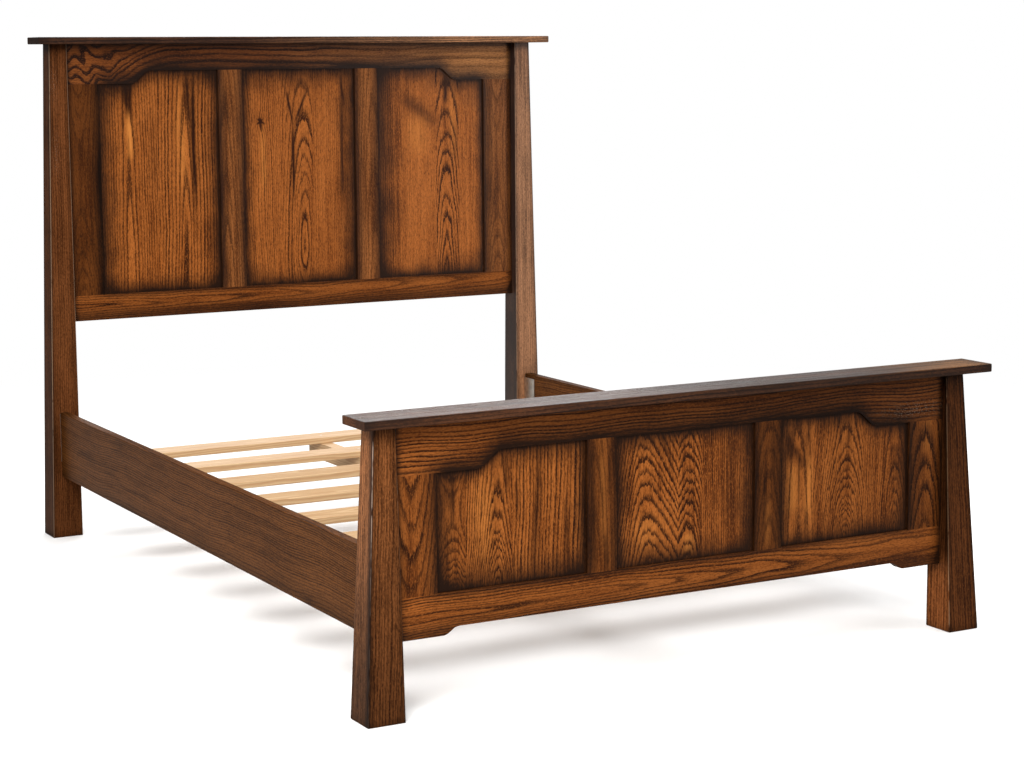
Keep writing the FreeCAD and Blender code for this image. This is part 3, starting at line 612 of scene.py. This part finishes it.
for side, H, zb, rail_low, yf, yd, y_plumb in (
    ("headboard", HEAD_H, HEAD_BOTTOM, 632.0, 1076.0, 1.0, 1048.0),
    ("footboard", FOOT_H, FOOT_BOTTOM, 165.0, -1073.0, -1.0, -1026.0),
):
    foot = side == "footboard"
    s0 = 0.0 if foot else 40.0

    def face(g, yf=yf):
        """Depth behind the frame's front face."""
        return g.absv(g.Y - yf) * 1.0

    for i, (tag, x0, x1) in enumerate((("left", -STILE_IN, -MULL_OUT), ("center", -MULL_IN, MULL_IN), ("right", MULL_OUT, STILE_IN))):
        n = f"{side}_panel_{tag}"
        put(n, oak("oak_" + n, gz, gx, face, s0 + 3.0 + i, FIGURE[n], marks=MARKS[n],
                   burn_and_shade=panel_burn(x0, x1, zb, H, SPRAY[n], seed=s0 + i),
                   knot=(1203.0, -128.0, 14.0) if n == "headboard_panel_center" else None,
                   shade=STAIN_AND_PAINTED_LIGHT.get(n), spec=0.05 if foot else (0.05, 0.06, 0.085)[i]))
    for i, tag in enumerate(("left", "right")):
        sx = -1.0 if tag == "left" else 1.0
        n = f"{side}_stile_{tag}"
        put(n, oak("oak_" + n, gz, gx, face, s0 + 21.0 + i, [(0.0, dict(
            c=sx * (690.0 - 6.0 * sx), z0=400.0 if foot else 1000.0, w0=52.0 if foot else 46.0, t=sx * 0.11 if foot else 0.03, q=0.0 if foot else 0.00022,
            sp=8.5 if foot else 6.5, lw=0.5, wander=3.0, wob=1.3, tone=0.10, bold=1.2 if foot else 0.6))], marks=MARKS.get(n, ()),
            burn_and_shade=stile_burn_and_painted_shade(zb, H, 0.10 if foot or sx > 0.0 else 0.20), shade=STAIN_AND_PAINTED_LIGHT[n], spec=0.09 if sx > 0.0 and not foot else 0.05))
        n = f"{side}_mullion_{tag}"
        put(n, oak("oak_" + n, gz, gx, face, s0 + 25.0 + i, [(0.0, dict(
            c=228.0 if foot and sx > 0.0 else sx * 246.0, z0=zb + 200.0, w0=44.0 if foot and sx > 0.0 else 28.0, t=0.10 if foot and sx > 0.0 else 0.04,
            sp=7.0, wander=4.0, wob=1.5, tone=0.10, bold=0.75))], burn_and_shade=mullion_burn, shade=STAIN_AND_PAINTED_LIGHT[n], marks=MARKS.get(n, ())))
        n = f"{side}_post_{tag}"

        def depth(g, y_plumb=y_plumb, yd=yd):
            return (g.Y - y_plumb) * yd

        put(n, oak("oak_" + n, gz, gx, depth, s0 + 29.0 + i, [(0.0, dict(
            c=sx * 900.0, slant=-0.03 * sx, z0=300.0, w0=60.0, t=0.03, sp=5.0, wander=5.0, tone=0.06, bold=0.95 if foot else 0.66, rag=1.1))],
            burn_and_shade=post_burn_and_painted_shade(H, y_plumb, yd, 0.0 if foot else 0.38), wear_and_highlight=post_wear_and_highlight(H, y_plumb, yd, *((0.70, 0.22) if n == "headboard_post_left" else (0.30, 0.40, 0.25) if n == "footboard_post_left" else (0.42, 0.30))),
            specks=[(-776.0, 1325.0, 9.0, 50.0, 0.20), (-776.0, 1120.0, 9.0, 60.0, 0.16)] if n == "headboard_post_left" else (),
            spec=0.15 if sx > 0.0 and not foot else 0.03 if foot else 0.012, brown=True,
            shade=STAIN_AND_PAINTED_LIGHT.get(n, head_left_post_painted_shade if not foot else foot_left_post_painted_light if sx < 0.0 else foot_right_post_painted_shade)))
    n = f"{side}_top_rail"
    put(n, oak("oak_" + n, gx, gz, face, s0 + 33.0, [(0.0, dict(
        c=H - 205.0, slant=0.012, z0=0.0, w0=60.0, sp=8.8 if foot else 14.5, lw=0.58, wander=10.0 if foot else 15.0, wob=1.9, tone=0.04, bold=1.4, rag=0.35))],
        burn_and_shade=top_rail_burn_and_painted_shade(H), fade=None if foot else (-50.0, 350.0, 0.45),
        shade=foot_top_rail_painted_shade if foot else head_top_rail_painted_sheen, curl=None if foot else (-664.0, 88.0, 84.0, 0.58, 140.0), spec=0.05 if foot else 0.09,
        specks=[(552.0, 640.0, 17.0, 85.0, 0.42)] if foot else ()))
    n = f"{side}_bottom_rail"
    put(n, oak("oak_" + n, gx, gz, face, s0 + 35.0, [(0.0, dict(
        c=rail_low + 46.0, slant=0.008, z0=-320.0, w0=13.0, t=0.028, sp=5.6, lw=0.5, wander=6.0, wob=2.0, tone=0.02, bold=1.2, rag=0.45))],
        fade=(0.0, 600.0, 0.65),
        burn_and_shade=bottom_rail_burn_and_painted_shade(zb, rail_low), shade=foot_bottom_rail_painted_light if foot else STAIN_AND_PAINTED_LIGHT[n]))
    n = f"{side}_cap"

    def under(g, H=H):
        return H - g.Z

    put(n, oak("oak_" + n, gx, gy, under, s0 + 37.0, [(0.0, dict(
        c=(-1082.0 if foot else 1052.0), w0=40.0, t=0.012, sp=6.0, wander=6.0, tone=0.16, bold=1.3, rag=0.4))], burn_and_shade=cap_burn, rough=cap_rough(H), spec=0.20, brown=True,
        shade=foot_cap_painted_light if foot else head_cap_painted_sheen))

for i, tag in enumerate(("left", "right")):
    def rail_burn_and_painted_shade(g):
        # sprayed shading along the edges, with painted shade where the rail meets the posts
        return g.sat(near(g, g.Z - 181.0, 30.0) * 0.42 + near(g, 371.0 - g.Z, 10.0) * 0.30 + near(g, 1048.0 - g.Y, 70.0) * 0.30 + near(g, g.Y + 1026.0, 25.0) * 0.20 + 0.05)

    def inward(g, sx=1.0 - 2.0 * i):
        return g.X * sx

    put(f"side_rail_{tag}", oak(f"oak_side_rail_{tag}", gy, gz, inward, 91.0 + i, [(0.0, dict(
        c=90.0, slant=0.01, z0=-400.0, w0=900.0, t=0.012, sp=5.0, wander=8.0, tone=0.12, bold=1.0))], burn_and_shade=rail_burn_and_painted_shade, spec=0.03, brown=True,
        cloud_amp=0.7, shade=(0.88, 0.89, 0.61)))


def rings(g, u, v, w, seed, spacing=5.0, pith=60.0, tilt=0.05, centre=0.0, top=0.0, wander=18.0):
    su = seed * 7.31
    n1 = g.noise(u / 520.0 + su, v / 420.0, w / 420.0 + su, 1.5, 0.5) - 0.5
    n2 = g.noise(u / 90.0 + su, v / 14.0 + 3.1, w / 14.0, 2.0, 0.5) - 0.5
    vv = v - centre + n1 * (wander * 4.0)
    ww = w + pith + (u - top) * tilt + n1 * (wander * 2.2)
    ring = g.sqrt(vv * vv + ww * ww) / spacing + n2 * 0.7 + su
    s = g.fract(ring + (g.noise(ring * 0.21, su, 0.0, 1.0) - 0.5) * 2.0)
    return g.ramp(s, 0.0, 0.75) * g.ramp(s, 0.86, 1.0, 1.0, 0.0), ring


# plain softwood for the deck
def deal(name, u, v, w, seed, **kw):
    g = Graph(name)
    u, v, w = u(g), v(g), w(g)
    early, ring = rings(g, u, v, w, seed, **kw)
    fibre = g.noise(u / 40.0 + seed, v / 1.3, w / 1.3, 2.0, 0.6)
    cloud = g.noise(u / 300.0 + seed, v / 60.0, w / 60.0, 1.0)
    col = g.mix(cloud, (0.60, 0.42, 0.235), (0.51, 0.325, 0.165))
    col = g.mix(early * 0.72, col, (0.385, 0.205, 0.085))
    col = g.mix(g.ramp(fibre, 0.5, 0.8, 0.0, 0.35), col, (0.33, 0.20, 0.10))
    g.bump(fibre * 0.4 - early * 0.3, 0.0003, 0.6)
    g.finish(col, g.sat(fibre * 0.15 + 0.52))
    return g.mat


for i in range(1, 9):
    put(f"slat_{i}", deal(f"deal_slat_{i}", gx, gy, gz, 120.0 + i, centre=11.0 + (i - 4.5) * 272.0 + 20.0 * math.sin(i * 2.3), pith=-235.0 + 25.0,
                          tilt=0.025 * (1 if i % 2 else -1), top=120.0 * math.sin(i * 1.7), spacing=5.5, wander=10.0))
for i, tag in enumerate(("left", "right")):
    put(f"slat_cleat_{tag}", deal(f"deal_cleat_{tag}", gy, gz, gx, 140.0 + i, centre=209.0, pith=800.0, tilt=0.01, spacing=5.0))
put("centre_beam", deal("deal_beam", gy, gz, gx, 150.0, centre=203.0, pith=24.0, tilt=0.012, spacing=5.5))
for i, tag in enumerate(("head", "foot")):
    put(f"centre_leg_{tag}", deal(f"deal_leg_{tag}", gz, gx, gy, 155.0 + i, centre=4.0, pith=30.0 - (371.0 if tag == "head" else -349.0), tilt=0.03, spacing=4.5))


# dowels, steel and the leveler pads
def dowel(name):
    g = Graph(name)
    fibre = g.noise(g.X / 1.1, g.Y / 1.1, g.Z / 12.0, 2.0, 0.6)
    col = g.mix(fibre, (0.58, 0.38, 0.20), (0.40, 0.235, 0.11))
    g.bump(fibre, 0.0002, 0.5)
    g.finish(col, g.sat(fibre * 0.2 + 0.5))
    return g.mat


def steel(name, base, dull, rough, brushed):
    g = Graph(name)
    if brushed:
        n = g.noise(g.X / 0.8, g.Y / 0.8, g.Z / 14.0, 2.0, 0.6)
    else:
        n = g.noise(g.X / 1.6, g.Y / 1.6, g.Z / 1.6, 2.0, 0.6)
    blot = g.noise(g.X / 17.0, g.Y / 17.0, g.Z / 17.0, 2.0)
    col = g.mix(g.ramp(blot, 0.35, 0.7), base, dull)
    g.bump(n, 0.00006, 0.5)
    g.finish(col, g.sat(n * 0.16 + blot * 0.12 + (rough - 0.12)))
    g.bsdf.inputs["Metallic"].default_value = 1.0
    return g.mat


def nylon(name):
    g = Graph(name)
    n = g.noise(g.X / 0.7, g.Y / 0.7, g.Z / 0.7, 2.0, 0.6)
    rub = g.noise(g.X / 9.0, g.Y / 9.0, g.Z / 5.0, 2.0)
    col = g.mix(g.ramp(rub, 0.4, 0.75), (0.018, 0.018, 0.019), (0.045, 0.044, 0.042))
    g.bump(n, 0.0001, 0.5)
    g.finish(col, g.sat(rub * 0.25 + 0.36))
    return g.mat


dowel_mat = dowel("dowel_beech")
plate_mat = steel("zinc_plate", (0.60, 0.58, 0.53), (0.44, 0.42, 0.39), 0.36, True)
screw_mat = steel("zinc_screw", (0.56, 0.52, 0.42), (0.40, 0.36, 0.29), 0.32, False)
pad_mat = nylon("pad_nylon")
for n, o in nodes.items():
    if n.endswith("cap_dowels"):
        put(n, dowel_mat)
    elif "slot_plate" in n or "hook_bracket" in n:
        put(n, plate_mat)
    elif "screws" in n or "bolts" in n or "inserts" in n or "leveler_stem" in n:
        put(n, screw_mat)
    elif "leveler_pad" in n:
        put(n, pad_mat)


# ---------------------------------------------------------------- floor, light, camera
def floor_material():
    """Pale floor that fades into the white of the studio a few metres out."""
    g = Graph("pale_floor")
    n = g.noise(g.X / 900.0, g.Y / 900.0, 0.0, 2.0)
    col = g.mix(n, (0.93, 0.93, 0.93), (0.96, 0.96, 0.96))
    g.finish(col, 0.8)
    g.bsdf.inputs["Specular IOR Level"].default_value = 0.0
    glow = g.nt.nodes.new("ShaderNodeEmission")
    glow.inputs[0].default_value = (1.0, 1.0, 1.0, 1.0)
    glow.inputs[1].default_value = 1.0
    far = g.sqrt(g.X * g.X + g.Y * g.Y)
    mixer = g.nt.nodes.new("ShaderNodeMixShader")
    g.feed(mixer.inputs[0], g.ramp(far, 1500.0, 4200.0))
    g.nt.links.new(g.bsdf.outputs[0], mixer.inputs[1])
    g.nt.links.new(glow.outputs[0], mixer.inputs[2])
    dull = g.nt.nodes.new("ShaderNodeBsdfDiffuse")
    dull.inputs[0].default_value = (0.50, 0.49, 0.47, 1.0)
    ray = g.nt.nodes.new("ShaderNodeLightPath")
    looked = g.nt.nodes.new("ShaderNodeMixShader")
    g.nt.links.new(ray.outputs["Is Camera Ray"], looked.inputs[0])
    g.nt.links.new(dull.outputs[0], looked.inputs[1])
    g.nt.links.new(mixer.outputs[0], looked.inputs[2])
    g.nt.links.new(looked.outputs[0], g.out.inputs[0])
    return g.mat


mesh = bpy.data.meshes.new("floor")
R = 60.0
mesh.from_pydata([(-R, -R, 0.0), (R, -R, 0.0), (R, R, 0.0), (-R, R, 0.0)], [], [(0, 1, 2, 3)])
floor = bpy.data.objects.new("floor", mesh)
scene.collection.objects.link(floor)
mesh.materials.append(floor_material())

world = bpy.data.worlds.new("studio")
scene.world = world
world.use_nodes = True
wt = world.node_tree
bg = wt.nodes["Background"]
bg.inputs[0].default_value = (1.0, 1.0, 1.0, 1.0)
bg.inputs[1].default_value = 0.55
seen = wt.nodes.new("ShaderNodeBackground")
seen.inputs[0].default_value = (1.0, 1.0, 1.0, 1.0)
seen.inputs[1].default_value = 1.0
path = wt.nodes.new("ShaderNodeLightPath")
both = wt.nodes.new("ShaderNodeMixShader")
wt.links.new(path.outputs["Is Camera Ray"], both.inputs[0])
wt.links.new(bg.outputs[0], both.inputs[1])
wt.links.new(seen.outputs[0], both.inputs[2])
wt.links.new(both.outputs[0], wt.nodes["World Output"].inputs[0])


def area(name, at, to, size, power, colour=(1.0, 1.0, 1.0)):
    d = bpy.data.lights.new(name, "AREA")
    d.shape = "RECTANGLE"
    d.size, d.size_y = size
    d.energy = power
    d.color = colour
    o = bpy.data.objects.new(name, d)
    o.location = at
    o.rotation_euler = (Vector(to) - Vector(at)).to_track_quat("-Z", "Y").to_euler()
    o.visible_camera = False
    scene.collection.objects.link(o)
    return o


area("key", (-3.4, -4.4, 3.6), (-0.2, -0.8, 0.5), (2.6, 2.2), 370.0, (1.0, 0.985, 0.96))
area("top", (0.2, -0.2, 4.8), (0.0, 0.0, 0.3), (4.0, 4.0), 190.0)
area("rear", (1.6, 4.8, 3.6), (0.0, -1.0, 0.65), (3.6, 1.8), 150.0)
area("side", (3.4, -3.5, 1.5), (0.6, 1.05, 1.1), (1.2, 0.8), 45.0)

cam = bpy.data.cameras.new("camera")
cam.sensor_fit = "HORIZONTAL"
cam.sensor_width = 36.0
F_PX = 2227.5
cam.lens = F_PX / 1024.0 * 36.0
cam.shift_x = 0.0
cam.shift_y = -16.0 / 1024.0
cam.clip_end = 200.0
cam.dof.use_dof = False
co = bpy.data.objects.new("camera", cam)
scene.collection.objects.link(co)
yaw, pitch, roll = 0.5028, -0.1398, -0.0068
fwd = Vector((math.sin(yaw) * math.cos(pitch), math.cos(yaw) * math.cos(pitch), math.sin(pitch)))
right = Vector((math.cos(yaw), -math.sin(yaw), 0.0))
up = right.cross(fwd)
r2 = right * math.cos(roll) + up * math.sin(roll)
u2 = up * math.cos(roll) - right * math.sin(roll)
rot = Matrix((r2, u2, -fwd)).transposed().to_4x4()
co.matrix_world = Matrix.Translation((-2.7302, -5.2196, 1.3980)) @ rot
scene.camera = co

scene.view_settings.view_transform = "Standard"
scene.view_settings.look = "None"
